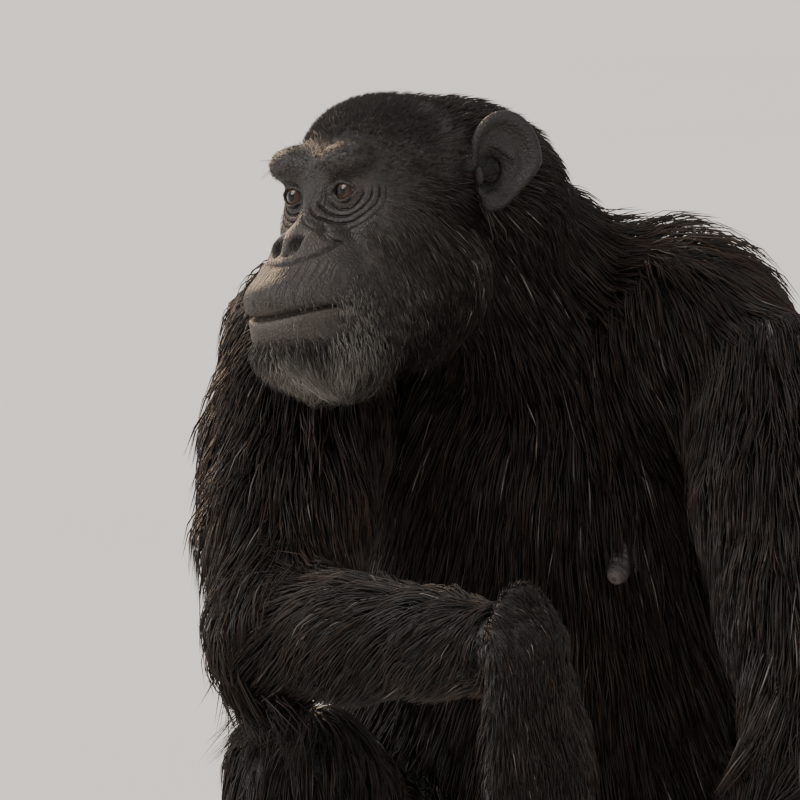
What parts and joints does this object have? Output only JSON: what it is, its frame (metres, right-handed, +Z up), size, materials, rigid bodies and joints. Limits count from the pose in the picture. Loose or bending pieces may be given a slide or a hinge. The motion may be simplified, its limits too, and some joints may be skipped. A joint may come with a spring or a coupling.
{
  "type": "life-size still model of an adult chimpanzee, seated",
  "caption": "A life-size still model of an adult chimpanzee sitting hunched, knees drawn up, one elbow on a knee and the head turned aside.",
  "frame": {"origin": "Middle of the flat on which the rump meets the floor.", "axes": "+Z up, -Y the way the torso faces, +X towards the animal's left."},
  "size_m": [0.5371, 0.6895, 0.7346],
  "materials": {
    "coat": "coarse near-black hair with a brown tint and a few grey hairs",
    "face": "bare dark grey-brown skin with fine wrinkles",
    "ear": "bare dark brown skin, slightly waxy",
    "eye": "wet, brown iris in a dark sclera",
    "hand": "bare dark creased skin",
    "nipple": "grey-pink creased skin"
  },
  "bodies": {
    "root": {"torso": "coat", "head": "face", "neck": "coat", "thigh_right": "coat", "shin_right": "coat", "foot_right": "hand", "thigh_left": "coat", "shin_left": "coat", "foot_left": "hand", "upper_arm_right": "coat", "forearm_right": "coat", "hand_right": "hand", "upper_arm_left": "coat", "forearm_left": "coat", "hand_left": "hand", "eye_left": "eye", "ear_left": "ear", "nipple_left": "nipple", "eye_right": "eye", "ear_right": "ear", "nipple_right": "nipple"}
  },
  "joints": []
}
